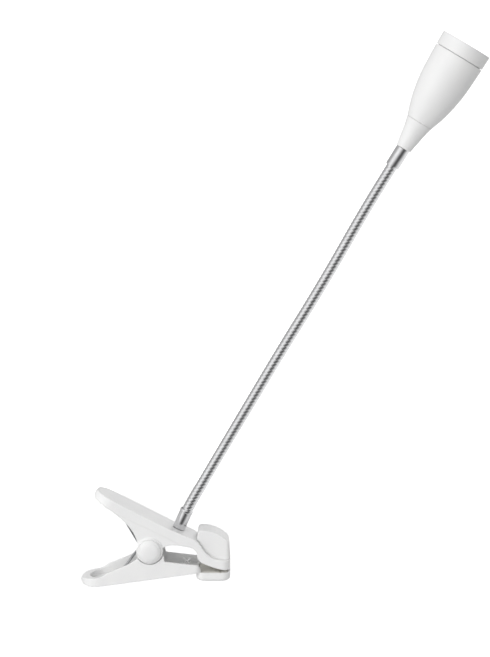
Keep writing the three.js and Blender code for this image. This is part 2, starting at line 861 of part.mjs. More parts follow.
function buildHead() {
  const group = new THREE.Group();
  group.add(
    piece('head_collar', headCollar(), whitePlastic()),
    piece('head_shell', headShell(), whitePlastic()),
    piece('bezel_ring', bezelRing(), whitePlastic()),
    piece('lens', lens(), plastic(0xf4f6fa, 0.1)),
    piece('reflector', reflector(), chrome()),
    piece('led_board', ledBoard(), plastic(0xe8e8e0, 0.5)),
    piece('led_chip', ledChip(), plastic(0xe8d24a, 0.4)),
    piece('heat_sink', heatSink(), aluminium()),
    piece('collar_nut', hexNut(8.4, spigot.radius + GAP, head.floor + GAP, head.floor + 3), zincSteel()),
  );
  for (let i = 0; i < board.screws; i += 1) {
    group.add(piece('board_screw_' + (i + 1), boardScrew(i), zincSteel()));
  }
  return group;
}

function buildLamp() {
  const lamp = new THREE.Group();
  lamp.add(buildClip());
  addAt(lamp, buildLowerFerrule(), ferruleFoot, ferruleFoot.lean);
  let place = onward(ferruleFoot, stubEnd + gooseneck.slit / 2, ferruleFoot.lean);
  segmentLeans.forEach((lean, i) => {
    addAt(lamp, buildSegment(i + 1), place, lean);
    place = onward(place, gooseneck.pitch, lean);
  });
  const upper = new THREE.Group();
  upper.add(piece('upper_ferrule', upperFerruleSocket(), chrome()));
  addAt(lamp, upper, place, upperFerrule.lean);
  place = onward(place, upperFerrule.height, upperFerrule.lean);
  addAt(lamp, buildHead(), place, head.lean);
  return lamp;
}

export default buildLamp();
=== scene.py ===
import json
import math

import bmesh
import bpy
import numpy as np
from mathutils import Matrix, Vector

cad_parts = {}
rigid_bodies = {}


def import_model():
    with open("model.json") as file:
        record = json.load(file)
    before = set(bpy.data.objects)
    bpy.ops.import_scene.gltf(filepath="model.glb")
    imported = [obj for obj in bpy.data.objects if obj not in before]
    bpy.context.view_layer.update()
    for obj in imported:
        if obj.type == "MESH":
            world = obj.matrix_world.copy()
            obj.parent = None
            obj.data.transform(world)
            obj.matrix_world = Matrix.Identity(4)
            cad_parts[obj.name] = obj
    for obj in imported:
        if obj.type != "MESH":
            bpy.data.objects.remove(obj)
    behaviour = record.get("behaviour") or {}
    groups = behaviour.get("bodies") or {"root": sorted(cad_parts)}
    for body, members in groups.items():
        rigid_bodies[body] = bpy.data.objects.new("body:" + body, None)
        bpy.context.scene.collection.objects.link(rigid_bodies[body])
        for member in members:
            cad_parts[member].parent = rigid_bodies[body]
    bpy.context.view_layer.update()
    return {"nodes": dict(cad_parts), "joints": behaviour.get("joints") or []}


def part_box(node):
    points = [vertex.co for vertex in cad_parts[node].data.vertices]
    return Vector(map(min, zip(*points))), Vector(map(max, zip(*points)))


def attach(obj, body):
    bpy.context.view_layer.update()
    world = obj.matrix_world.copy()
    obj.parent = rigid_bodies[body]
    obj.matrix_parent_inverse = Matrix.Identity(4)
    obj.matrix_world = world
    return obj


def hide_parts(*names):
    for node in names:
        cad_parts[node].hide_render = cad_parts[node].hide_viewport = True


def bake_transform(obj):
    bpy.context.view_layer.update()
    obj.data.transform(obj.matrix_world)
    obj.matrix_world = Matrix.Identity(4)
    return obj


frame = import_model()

MM = 0.001
NODES = frame["nodes"]
JOINTS = {joint["name"]: joint for joint in frame["joints"]}

# ------------------------------------------------------------------ sizes

SIDES = 96  # round the large turned pieces
SMALL_SIDES = 56
ON_AXIS = 1e-9  # a point nearer the axis than this is on it
VOXEL = 0.4 * MM
SMOOTHING = 6
ALONG_ARM = (0.5, 0, 0.85)  # roughly the way the arm points at rest
ARM_LEAN = math.radians(30)
HOOD_SWELL = {"length": 1.035, "height": 1.065, "centre_z": 20 * MM}
# The lower jaw's foot: its rounding, its underside and how far the jaw reaches past its pad.
FOOT = {"radius": 3.2 * MM, "bottom": -7.4 * MM, "rim": 2.2 * MM, "slack": 0.3 * MM}
RIBS = {"crossing": Vector((-20.8, 2.8, 4.4)) * MM, "size": Vector((10.1, 1.7, 1.0)) * MM, "drop": 1.0 * MM}
RIDGES = {"first": Vector((-17.2, 12.4, 2.6)) * MM, "pitch": 1.5 * MM, "size": Vector((0.8, 1.2, 2.8)) * MM}
CAP = {"radius": 8.9 * MM, "height": 3.5 * MM, "edge": 1.0 * MM, "bevel": 1.2 * MM, "crown": 1.3 * MM}
SPRING = {"wire": 1.0 * MM, "coil": 5.3 * MM, "side": 7.6 * MM, "turns": 5, "sides": 16}
# Where the spring's legs end, as (x, z).
LEG_ENDS = {"upper": (-74.5 * MM, 51.6 * MM), "lower": (-72.0 * MM, -5.1 * MM)}
HOSE = {"radius": 4.35 * MM, "pitch": 3.03 * MM, "groove": 0.32 * MM, "sides": 40, "rows": 14}
HOSE_FOOT = 13.5 * MM  # from the first hinge down to the hose's end in the lower ferrule
HOSE_TOP = 1.3  # where the hose ends, with 0 at the last hinge and 1 at the upper ferrule's mouth
HEAD = {"collar": 22.8 * MM, "bezel": 79.7 * MM, "length": 90.3 * MM, "wall": 1.9 * MM, "gap": 0.3 * MM}
# The head's outline: (distance from the neck, radius) in millimetres.
HEAD_KNOTS = [(0, 6.0), (6, 7.1), (20, 9.8), (34, 14.4), (48, 17.5), (62, 19.05), (90.3, 20.2)]
FLOOR_Z = -0.25
TABLE = {"radius": 1.0, "centre": (0.35, 0.3)}
FLOOR = {"radius": 40.0, "centre": (0, 0), "below_table": 2 * MM}
CAMERA = {"place": (0.0247, -1.530, 0.4671), "aim": (0.0247, 0, 0.1896), "lens": 111.6, "sensor": 36}
# The soft light from all round: the way that most of it comes from, and its darkest and brightest
# ends, each as (how far a direction points that way, strength).
DOME = {"from": (-0.45, -0.2, 0.87), "dark": (-0.7, 0.24), "bright": (0.9, 1.38)}
# What the chrome mirrors, by angle round the arm from the front: (degrees, brightness). It is turned
# by slant, in radians, for each unit that the direction points along the arm beyond level.
ROOM = {
    "slant": 0.5,
    "level": -0.15,
    "shades": [
        (-180, 0.40), (-95, 0.47), (-74, 0.9), (-48, 1.0), (-28, 0.72), (-10, 0.3), (4, 0.11),
        (26, 0.1), (44, 0.35), (64, 0.7), (90, 0.9), (180, 0.9),
    ],
}


# ------------------------------------------------------------------ node materials

def new_material(name):
    material = bpy.data.materials.new(name)
    material.use_nodes = True
    tree = material.node_tree
    return material, tree, tree.nodes["Principled BSDF"]


def add_node(tree, kind, **inputs):
    node = tree.nodes.new(kind)
    for key, value in inputs.items():
        node.inputs[key.replace("_", " ")].default_value = value
    return node


def object_coordinates(tree, scale=(1, 1, 1)):
    place = tree.nodes.new("ShaderNodeTexCoord")
    mapping = tree.nodes.new("ShaderNodeMapping")
    mapping.inputs["Scale"].default_value = scale
    tree.links.new(place.outputs["Object"], mapping.inputs["Vector"])
    return mapping.outputs["Vector"]


def noise(tree, vector, scale, detail=3.0):
    node = add_node(tree, "ShaderNodeTexNoise", Scale=scale, Detail=detail)
    tree.links.new(vector, node.inputs["Vector"])
    return node.outputs["Fac"]


def spread(tree, value, low, high):
    """The value's middle range, stretched to run from low to high."""
    node = tree.nodes.new("ShaderNodeMapRange")
    node.inputs["From Min"].default_value = 0.3
    node.inputs["From Max"].default_value = 0.7
    node.inputs["To Min"].default_value = low
    node.inputs["To Max"].default_value = high
    tree.links.new(value, node.inputs["Value"])
    return node.outputs["Result"]


def two_tone(tree, value, dark, light):
    ramp = tree.nodes.new("ShaderNodeValToRGB")
    ramp.color_ramp.elements[0].position = 0.3
    ramp.color_ramp.elements[1].position = 0.7
    ramp.color_ramp.elements[0].color = (*dark, 1)
    ramp.color_ramp.elements[1].color = (*light, 1)
    tree.links.new(value, ramp.inputs["Fac"])
    return ramp.outputs["Color"]


def add_bump(tree, shader, height, strength, distance):
    bump = add_node(tree, "ShaderNodeBump", Strength=strength, Distance=distance)
    tree.links.new(height, bump.inputs["Height"])
    tree.links.new(bump.outputs["Normal"], shader.inputs["Normal"])


def moulded_plastic(name, dark, light, rough):
    """Moulded plastic: faint flow marks in its colour, an uneven gloss and a very fine grain."""
    material, tree, shader = new_material(name)
    vector = object_coordinates(tree)
    flow = noise(tree, object_coordinates(tree, (1, 1, 0.4)), 60)
    tree.links.new(two_tone(tree, flow, dark, light), shader.inputs["Base Color"])
    gloss = spread(tree, noise(tree, vector, 140), rough - 0.05, rough + 0.05)
    tree.links.new(gloss, shader.inputs["Roughness"])
    add_bump(tree, shader, noise(tree, vector, 2600), 0.25, 0.02 * MM)
    return material


def rubber(name, dark, light):
    material, tree, shader = new_material(name)
    vector = object_coordinates(tree)
    tree.links.new(two_tone(tree, noise(tree, vector, 350), dark, light), shader.inputs["Base Color"])
    tree.links.new(spread(tree, noise(tree, vector, 500), 0.72, 0.92), shader.inputs["Roughness"])
    shader.inputs["Specular IOR Level"].default_value = 0.3
    add_bump(tree, shader, noise(tree, vector, 3800, 5.0), 0.5, 0.04 * MM)
    return material


def metal(name, dark, light, rough, brushed=(1, 1, 1), depth=0.004 * MM):
    """Plated or brushed metal: cloudy colour, uneven polish and fine marks drawn out one way."""
    material, tree, shader = new_material(name)
    vector = object_coordinates(tree)
    tree.links.new(two_tone(tree, noise(tree, vector, 220), dark, light), shader.inputs["Base Color"])
    polish = spread(tree, noise(tree, vector, 420), 0.75 * rough, 1.3 * rough)
    tree.links.new(polish, shader.inputs["Roughness"])
    shader.inputs["Metallic"].default_value = 1.0
    add_bump(tree, shader, noise(tree, object_coordinates(tree, brushed), 1800), 0.3, depth)
    return material


def clear_plastic(name):
    material, tree, shader = new_material(name)
    vector = object_coordinates(tree)
    tint = two_tone(tree, noise(tree, vector, 120), (0.93, 0.95, 0.96), (0.98, 0.99, 1.0))
    tree.links.new(tint, shader.inputs["Base Color"])
    tree.links.new(spread(tree, noise(tree, vector, 900), 0.05, 0.16), shader.inputs["Roughness"])
    shader.inputs["Transmission Weight"].default_value = 1.0
    shader.inputs["IOR"].default_value = 1.49
    return material


WHITE = moulded_plastic("white_abs", (0.80, 0.80, 0.80), (0.83, 0.83, 0.825), 0.36)
RUBBER = rubber("grey_pad_rubber", (0.66, 0.645, 0.605), (0.74, 0.725, 0.685))
CHROME = metal("bright_plating", (0.72, 0.72, 0.73), (0.80, 0.80, 0.81), 0.13)
ZINC = metal("zinc_plated_steel", (0.40, 0.41, 0.42), (0.56, 0.57, 0.58), 0.32, (1, 6, 1))
CASTING = metal("die_cast_aluminium", (0.58, 0.59, 0.60), (0.70, 0.71, 0.72), 0.42, depth=0.02 * MM)
MIRROR = metal("mirror_coating", (0.84, 0.84, 0.85), (0.90, 0.90, 0.91), 0.08)
PVC = moulded_plastic("black_sheath", (0.018, 0.018, 0.018), (0.035, 0.035, 0.035), 0.5)
BOARD = moulded_plastic("white_solder_mask", (0.70, 0.70, 0.67), (0.78, 0.78, 0.75), 0.42)
PHOSPHOR = moulded_plastic("yellow_phosphor", (0.72, 0.56, 0.12), (0.84, 0.68, 0.20), 0.3)
LENS = clear_plastic("clear_acrylic")


# ------------------------------------------------------------------ mesh helpers

def make_object(name, mesh, material):
    thing = bpy.data.objects.new(name, mesh)
    bpy.context.scene.collection.objects.link(thing)
    mesh.materials.clear()
    mesh.materials.append(material)
    for face in mesh.polygons:
        face.use_smooth = True
    return thing


def mesh_from(name, points, faces):
    mesh = bpy.data.meshes.new(name)
    mesh.from_pydata([tuple(p) for p in points], [], faces)
    mesh.validate()
    shape = bmesh.new()
    shape.from_mesh(mesh)
    bmesh.ops.remove_doubles(shape, verts=shape.verts, dist=1e-7)
    bmesh.ops.recalc_face_normals(shape, faces=shape.faces)
    shape.to_mesh(mesh)
    shape.free()
    return mesh


def crisp(thing, angle=35):
    """Keeps edges sharper than this angle sharp in a smooth-shaded mesh."""
    limit = math.radians(angle)
    shape = bmesh.new()
    shape.from_mesh(thing.data)
    for edge in shape.edges:
        edge.smooth = not (edge.is_manifold and edge.calc_face_angle() > limit)
    shape.to_mesh(thing.data)
    shape.free()


def settle(thing):
    """Works the object's modifiers into its mesh."""
    graph = bpy.context.evaluated_depsgraph_get()
    mesh = bpy.data.meshes.new_from_object(thing.evaluated_get(graph))
    thing.modifiers.clear()
    thing.data = mesh
    for face in mesh.polygons:
        face.use_smooth = True


def dress(thing, body, slot, *nodes):
    if nodes:
        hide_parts(*nodes)
    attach(thing, body)
    return thing


def moulded(name, node, body, slot, material, swell=None):
    """The node's shape with its edges rounded over, as a moulding's are."""
    mesh = NODES[node].data.copy()
    if swell:
        mesh.transform(swell)
    thing = make_object(name, mesh, material)
    remesh = thing.modifiers.new("even", "REMESH")
    remesh.mode = "VOXEL"
    remesh.voxel_size = VOXEL
    remesh.use_smooth_shade = True
    soften = thing.modifiers.new("soften", "SMOOTH")
    soften.factor = 0.5
    soften.iterations = SMOOTHING
    settle(thing)
    return dress(thing, body, slot, node)


def rounded(profile, radius, steps=4):
    """A closed profile with each corner rounded off, as far as its neighbours leave room."""
    count = len(profile)
    made = []
    for i in range(count):
        before, here, after = (Vector(profile[(i + k) % count]) for k in (-1, 0, 1))
        if here.x < ON_AXIS:
            made.append(here)
            continue
        back, on = before - here, after - here
        reach = min(radius, 0.45 * back.length, 0.45 * on.length)
        start, end = here + back.normalized() * reach, here + on.normalized() * reach
        for k in range(steps + 1):
            t = k / steps
            made.append(start * (1 - t) ** 2 + here * 2 * t * (1 - t) + end * t ** 2)
    return made


def turned_mesh(name, profile, sides, place):
    """A closed profile of (radius, height) turned about Z, then put in its place."""
    points, faces = [], []
    for i in range(sides):
        angle = 2 * math.pi * i / sides
        for p in profile:
            points.append(place @ Vector((p[0] * math.cos(angle), p[0] * math.sin(angle), p[1])))
    count = len(profile)
    for i in range(sides):
        here, there = i * count, ((i + 1) % sides) * count
        for k in range(count):
            n = (k + 1) % count
            if profile[k][0] < ON_AXIS and profile[n][0] < ON_AXIS:
                continue
            faces.append((here + k, there + k, there + n, here + n))
    return mesh_from(name, points, faces)


def axis_place(node, hint):
    """The frame of a turned node: origin on its axis at its lowest end, Z along the axis."""
    points = np.array([v.co for v in NODES[node].data.vertices])
    points = np.unique(points.round(7), axis=0)
    middle = points.mean(axis=0)
    _, directions = np.linalg.eigh((points - middle).T @ (points - middle))
    best = max(directions.T, key=lambda d: abs(d @ np.array(hint)))
    axis = Vector(best if best @ np.array(hint) > 0 else -best)
    low = min((Vector(p) - Vector(middle)).dot(axis) for p in points)
    turn = axis.to_track_quat("Z", "Y").to_matrix().to_4x4()
    return Matrix.Translation(Vector(middle) + axis * low) @ turn


def swept_mesh(name, centres, radius_at, sides):
    """A tube along a list of centres, closed at both ends; radius_at(row, angle) gives its surface."""
    rows = len(centres)
    tangents = []
    for i in range(rows):
        tangents.append((centres[min(i + 1, rows - 1)] - centres[max(i - 1, 0)]).normalized())
    side = Vector((0, 1, 0)) if abs(tangents[0].y) < 0.9 else Vector((1, 0, 0))
    points = []
    for i in range(rows):
        side = (side - tangents[i] * side.dot(tangents[i])).normalized()
        other = tangents[i].cross(side)
        for k in range(sides):
            angle = 2 * math.pi * k / sides
            out = side * math.cos(angle) + other * math.sin(angle)
            points.append(centres[i] + out * radius_at(i, angle))
    faces = []
    for i in range(rows - 1):
        for k in range(sides):
            n = (k + 1) % sides
            faces.append((i * sides + k, i * sides + n, (i + 1) * sides + n, (i + 1) * sides + k))
    faces.append(tuple(range(sides))[::-1])
    faces.append(tuple((rows - 1) * sides + k for k in range(sides)))
    return mesh_from(name, points, faces)


# ------------------------------------------------------------------ clip

def round_foot(lever):
    """Rounds over the bottom edge of the lower lever's jaw, as a bowl's foot is."""
    radius, rim = FOOT["radius"], FOOT["rim"]
    low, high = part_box("lower_jaw_pad")
    middle = (low + high) / 2
    half_x = (high.x - low.x) / 2 + rim
    half_y = (high.y - low.y) / 2 + rim
    for vertex in lever.data.vertices:
        point = vertex.co
        depth = min(max(FOOT["bottom"] + radius - point.z, 0.0), radius)
        if point.x < middle.x - half_x - FOOT["slack"] or depth == 0.0:
            continue
        inset = radius - math.sqrt(radius ** 2 - depth ** 2)
        point.x = middle.x + (point.x - middle.x) * (1 - inset / half_x)
        point.y = middle.y + (point.y - middle.y) * (1 - inset / half_y)


def hood_swell():
    """Stretches the hood about its right edge, which closes the assembly gap to the upper lever."""
    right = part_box("jaw_hood")[1].x
    centre = Vector((right, 0, HOOD_SWELL["centre_z"]))
    stretch = Matrix.Diagonal((HOOD_SWELL["length"], 1, HOOD_SWELL["height"], 1))
    return Matrix.Translation(centre) @ stretch @ Matrix.Translation(-centre)


def levers():
    lower = moulded("lower_lever_shell", "lower_lever", "clip_lower", "white_plastic", WHITE)
    round_foot(lower)
    moulded("upper_lever_shell", "upper_lever", "clip_upper", "white_plastic", WHITE)
    moulded("jaw_hood_shell", "jaw_hood", "clip_upper", "white_plastic", WHITE, hood_swell())


def lever_block(name, size, place):
    """A small block with bevelled edges, moulded on the lower lever."""
    shape = bmesh.new()
    bmesh.ops.create_cube(shape, size=1.0)
    bmesh.ops.scale(shape, vec=size, verts=shape.verts)
    bmesh.ops.bevel(shape, geom=shape.edges[:], offset=0.15 * MM, segments=2, affect="EDGES")
    bmesh.ops.transform(shape, matrix=place, verts=shape.verts)
    mesh = bpy.data.meshes.new(name)
    shape.to_mesh(mesh)
    shape.free()
    thing = make_object(name, mesh, WHITE)
    crisp(thing, 50)
    dress(thing, "clip_lower", "white_plastic")


def crossed_ribs():
    """The two thin ribs that stand on the lower lever's floor and cross above their middles."""
    for way, sign in (("up", -1), ("down", 1)):
        turn = Matrix.Rotation(sign * math.pi / 4, 4, "Y")
        drop = Matrix.Translation((sign * RIBS["drop"], 0, 0))
        lever_block(f"rib_{way}", RIBS["size"], Matrix.Translation(RIBS["crossing"]) @ turn @ drop)


def wall_ridges():
    """Three short ridges on the inside of the lower lever's far wall, next to the jaw."""
    for index in range(3):
        step = Vector((index * RIDGES["pitch"], 0, 0))
        lever_block(f"wall_ridge_{index + 1}", RIDGES["size"], Matrix.Translation(RIDGES["first"] + step))


def jaw_pads():
    moulded("lower_pad_rubber", "lower_jaw_pad", "clip_lower", "grey_rubber", RUBBER)
    moulded("upper_pad_rubber", "upper_jaw_pad", "clip_upper", "grey_rubber", RUBBER)


def pivot_cap(name, node, sign):
    """A domed cap with a bevelled rim, on one side of the pivot."""
    place = axis_place(node, (0, sign, 0))
    radius, height, crown = CAP["radius"], CAP["height"], CAP["crown"]
    rim = radius - CAP["bevel"]
    outline = [(0, 0), (radius, 0), (radius, CAP["edge"]), (rim, height - crown)]
    dome = []
    steps = 12
    for k in range(1, steps + 1):
        out = 1 - k / steps
        dome.append((rim * out, height - crown * out ** 4))
    mesh = turned_mesh(name, rounded(outline, 0.3 * MM) + dome, SIDES, place)
    thing = make_object(name, mesh, WHITE)
    crisp(thing)
    dress(thing, "clip_lower", "white_plastic", node)


def pivot_pin():
    low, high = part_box("pivot_pin")
    place = axis_place("pivot_pin", (0, 1, 0))
    radius, length = (high.x - low.x) / 2, high.y - low.y
    outline = rounded([(0, 0), (radius, 0), (radius, length), (0, length)], 0.5 * MM)
    thing = make_object("pivot_pin_turned", turned_mesh("pin", outline, SMALL_SIDES, place), ZINC)
    crisp(thing)
    dress(thing, "clip_lower", "zinc_steel", "pivot_pin")


def tangent_angle(end, pivot, turn):
    dx, dz = end.x - pivot.x, end.z - pivot.z
    return math.atan2(dz, dx) + turn * math.acos(SPRING["coil"] / math.hypot(dx, dz))


def torsion_spring():
    """One wire: a leg to the upper lever, the coil round the pin and a leg to the lower lever."""
    pivot = Vector(JOINTS["clip_open"]["pos_m"])
    coil, side = SPRING["coil"], SPRING["side"]
    upper = Vector((LEG_ENDS["upper"][0], -side, LEG_ENDS["upper"][1]))
    lower = Vector((LEG_ENDS["lower"][0], side, LEG_ENDS["lower"][1]))
    start = tangent_angle(upper, pivot, 1)
    stop = tangent_angle(lower, pivot, -1) + 2 * math.pi * (SPRING["turns"] + 1)
    steps, leg_steps = 220, 24
    coil_points = []
    for i in range(steps + 1):
        share = i / steps
        angle = start + share * (stop - start)
        around = Vector((coil * math.cos(angle), side * (2 * share - 1), coil * math.sin(angle)))
        coil_points.append(Vector((pivot.x, 0, pivot.z)) + around)
    leg_in = [upper.lerp(coil_points[0], k / leg_steps) for k in range(leg_steps)]
    leg_out = [coil_points[-1].lerp(lower, k / leg_steps) for k in range(1, leg_steps + 1)]
    centres = leg_in + coil_points + leg_out
    mesh = swept_mesh("spring", centres, lambda row, angle: SPRING["wire"], SPRING["sides"])
    thing = make_object("torsion_spring_wire", mesh, ZINC)
    crisp(thing)
    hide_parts("torsion_spring")
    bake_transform(thing)


# ------------------------------------------------------------------ ferrules

def ferrule(name, node, body, outline, place):
    """A plated turning; its outline is (radius, height) in millimetres."""
    profile = rounded([(r * MM, z * MM) for r, z in outline], 0.18 * MM, 3)
    thing = make_object(name, turned_mesh(name, profile, SIDES, place), CHROME)
    crisp(thing, 50)
    dress(thing, body, "chrome", node)


def lower_ferrule():
    """A tube on a stem, with a low bead round its mouth."""
    stem, lead, foot = 4.0, 2.2, 8.3
    radius, height, bore, seat = 4.95, 24.3, 4.6, 11
    bead = radius + 0.25
    outline = [
        (lead, 0), (stem, 0), (stem, foot), (radius, foot), (radius, height - 2.4),
        (bead, height - 1.9), (bead, height - 0.5), (radius - 0.05, height),
        (bore, height), (bore, seat), (lead, seat),
    ]
    place = axis_place("lower_ferrule", ALONG_ARM)
    ferrule("lower_ferrule_turned", "lower_ferrule", "clip_upper", outline, place)


def upper_ferrule():
    """A tube with a thin spigot that goes up into the head."""
    radius, height, bore, seat, spigot, lead = 5.5, 15.7, 4.6, 9, 3.1, 2.2
    tip = height + 8.9
    outline = [
        (bore, 0), (radius - 0.2, 0), (radius, 0.6), (radius, height), (spigot, height),
        (spigot, tip), (lead, tip), (lead, seat), (bore, seat),
    ]
    place = axis_place("upper_ferrule", ALONG_ARM)
    ferrule("upper_ferrule_turned", "upper_ferrule", "lamp_head", outline, place)


# ------------------------------------------------------------------ gooseneck

def arm_joints():
    names = sorted((name for name in JOINTS if name.startswith("arm_")), key=lambda name: name[-2:])
    return [JOINTS[name] for name in names]


def hose_piece(name, controls, travelled):
    """A stretch of wound hose along a smooth bend through three points.

    The winding's phase follows the distance travelled, so that each stretch goes on from the last.
    """
    start, corner, end = controls
    length = (corner - start).length + (end - corner).length
    rows = max(8, round(HOSE["rows"] * length / HOSE["pitch"]))
    centres = []
    for i in range(rows + 1):
        t = i / rows
        centres.append(start * (1 - t) ** 2 + corner * 2 * t * (1 - t) + end * t ** 2)

    def radius_at(row, angle):
        turns = (travelled + length * row / rows) / HOSE["pitch"] - angle / (2 * math.pi)
        across = 2 * abs(turns % 1.0 - 0.5)  # 0 on a ridge, 1 in a groove
        return HOSE["radius"] - HOSE["groove"] * across ** 4

    thing = make_object(name, swept_mesh(name, centres, radius_at, HOSE["sides"]), CHROME)
    crisp(thing, 70)
    return thing, travelled + length


def gooseneck():
    """Twelve stretches of hose, each bending across one hinge, and a stiff end in the upper ferrule."""
    joints = arm_joints()
    bodies = [joint["parent"] for joint in joints] + [joints[-1]["child"]]
    places = [Vector(joint["pos_m"]) for joint in joints]
    stub_low, stub_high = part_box("gooseneck_00")
    stub = Vector(((stub_low.x + stub_high.x) / 2, 0, (stub_low.z + stub_high.z) / 2))
    mouth = axis_place("upper_ferrule", ALONG_ARM).translation
    mids = [here.lerp(after, 0.5) for here, after in zip(places, places[1:] + [mouth])]
    top = places[-1] + (mouth - places[-1]) * HOSE_TOP
    travelled = 0.0
    start = places[0] - (places[0] - stub).normalized() * HOSE_FOOT
    for i, (place, end) in enumerate(zip(places, mids)):
        thing, travelled = hose_piece(f"hose_{i + 1:02d}", (start, place, end), travelled)
        nodes = [f"gooseneck_{i + 1:02d}"] + (["gooseneck_00"] if i == 0 else [])
        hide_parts(*nodes)
        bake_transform(thing)
        start = end
    thing, _ = hose_piece("hose_end", (start, start.lerp(top, 0.5), top), travelled)
    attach(thing, bodies[-1])


# ------------------------------------------------------------------ head

def head_radius_curve():
    """The head's outline as (distance from the neck, radius): a smooth curve through its knots."""
    ends = [HEAD_KNOTS[0]] + HEAD_KNOTS + [HEAD_KNOTS[-1]]
    steps = 10
    curve = []
    for i in range(1, len(ends) - 2):
        p0, p1, p2, p3 = (np.array(ends[i + k], float) for k in (-1, 0, 1, 2))
        for k in range(steps):
            t = k / steps
            a, b = 2 * p1, (p2 - p0) * t
            c = (2 * p0 - 5 * p1 + 4 * p2 - p3) * t * t
            d = (3 * p1 - p0 - 3 * p2 + p3) * t ** 3
            curve.append(0.5 * (a + b + c + d))
    curve.append(np.array(HEAD_KNOTS[-1], float))
    return np.array(curve) * MM


HEAD_CURVE = head_radius_curve()


def head_radius(distance):
    return float(np.interp(distance, HEAD_CURVE[:, 0], HEAD_CURVE[:, 1]))


def head_outline(start, end, count):
    return [(head_radius(d), d) for d in np.linspace(start, end, count)]


def head_piece(name, node, profile, material, slot, place, corner=0.25 * MM):
    made = rounded(profile, corner, 3)
    thing = make_object(name, turned_mesh(name, made, SIDES, place), material)
    crisp(thing, 40)
    dress(thing, "lamp_head", slot, node)


def neck_collar(place):
    """The narrow neck: a floor with a bore for the spigot, a pocket for its nut, a lip in the shell."""
    collar = HEAD["collar"]
    bore, pocket, floor, pocket_top = 3.4 * MM, 5.2 * MM, 4 * MM, 9 * MM
    lip = head_radius(collar) - HEAD["wall"]
    lip_top, lip_inside = collar + 3 * MM, lip - 1.2 * MM
    outside = head_outline(0, collar, 18)
    inside = [
        (lip, collar), (lip, lip_top), (lip_inside, lip_top), (lip_inside, collar - 2 * MM),
        (pocket, pocket_top), (pocket, floor), (bore, floor),
    ]
    profile = [(bore, 0)] + outside + inside
    head_piece("neck_collar", "head_collar", profile, WHITE, "white_plastic", place)


def shell_bell(place):
    """The long bell. Its wall leaves the assembly gap to the collar's lip and the ring's skirt."""
    outside = head_outline(HEAD["collar"] + 0.12 * MM, HEAD["bezel"] - 0.5 * MM, 40)
    inside = [(r - HEAD["wall"] + HEAD["gap"], d) for r, d in reversed(outside)]
    head_piece("shell_bell", "head_shell", outside + inside, WHITE, "white_plastic", place)


def front_ring(place):
    """The ring at the front: a skirt that goes into the shell, a groove for the lens and a rim."""
    bezel, length = HEAD["bezel"], HEAD["length"]
    skirt, outer = head_radius(bezel) - HEAD["wall"], head_radius(bezel) - 0.1 * MM
    seat, groove, rim = 16.4 * MM, 18.2 * MM, 17.2 * MM
    tail, shelf = bezel - 5 * MM, length - 6.4 * MM
    profile = [
        (seat, tail), (skirt, tail), (skirt, bezel), (outer, bezel),
        (outer + 0.3 * MM, length - 0.4 * MM), (outer, length), (rim, length),
        (rim, length - 1.4 * MM), (groove, length - 2.2 * MM), (groove, shelf), (seat, shelf),
    ]
    head_piece("front_ring", "bezel_ring", profile, WHITE, "white_plastic", place, 0.2 * MM)


def front_lens(place):
    """A clear disc with a faintly crowned front."""
    radius, thickness, crown = 17.8 * MM, 2.4 * MM, 0.4 * MM
    top = HEAD["length"] - 2.6 * MM
    front = []
    for angle in np.linspace(0.15, math.pi / 2, 14)[:-1]:
        front.append((radius * math.cos(angle), top - crown + crown * math.sin(angle)))
    profile = [(0, top - thickness), (radius, top - thickness)] + front + [(0, top)]
    head_piece("front_lens", "lens", profile, LENS, "clear_lens", place, 0.15 * MM)


def reflector_cup(place):
    """A thin flared cup, open at the bottom for the LED."""
    low, top = 73 * MM, HEAD["length"] - 7 * MM
    hole, mouth, rim = 3.6 * MM, 15.8 * MM, 14.8 * MM
    flare = []
    for t in np.linspace(0, 1, 16):
        flare.append(((4.6 + 11.2 * t ** 0.75) * MM, low + (top - low - 0.4 * MM) * t ** 1.4))
    outside = [(hole, low)] + flare + [(mouth, top), (rim, top)]
    inside = [(r - 0.9 * MM, z + 0.35 * MM) for r, z in reversed(flare[1:-1])]
    head_piece("reflector_cup", "reflector", outside + inside, MIRROR, "metallised_plastic", place, 0.1 * MM)


def head():
    place = axis_place("head_collar", ALONG_ARM)
    neck_collar(place)
    shell_bell(place)
    front_ring(place)
    front_lens(place)
    reflector_cup(place)


# ------------------------------------------------------------------ small parts that keep their CAD shape

def repaint(node, material):
    mesh = NODES[node].data
    mesh.materials.clear()
    mesh.materials.append(material)


def small_parts():
    leads = [f"lead_{index:02d}" for index in range(13)]
    for name in ["cord_gland", "lever_lead"] + leads:
        repaint(name, PVC)
    screws = [f"board_screw_{index + 1}" for index in range(3)]
    for name in ["ferrule_washer", "ferrule_nut", "collar_nut"] + screws:
        repaint(name, ZINC)
    repaint("led_board", BOARD)
    repaint("led_chip", PHOSPHOR)
    repaint("heat_sink", CASTING)


# ------------------------------------------------------------------ stage

def floor_material(name, dark, light, glow):
    material, tree, shader = new_material(name)
    vector = object_coordinates(tree)
    tint = two_tone(tree, noise(tree, vector, 2.0), (dark,) * 3, (light,) * 3)
    tree.links.new(tint, shader.inputs["Base Color"])
    shader.inputs["Roughness"].default_value = 0.9
    shader.inputs["Emission Color"].default_value = (1, 1, 1, 1)
    shader.inputs["Emission Strength"].default_value = glow
    return material


def disc(name, centre, radius, z, material):
    mesh = bpy.data.meshes.new(name)
    x, y = centre
    angles = np.linspace(0, 2 * math.pi, SIDES, False)
    points = [(x + radius * math.cos(a), y + radius * math.sin(a), z) for a in angles]
    mesh.from_pydata(points, [], [tuple(range(SIDES))])
    thing = make_object(name, mesh, material)
    return thing


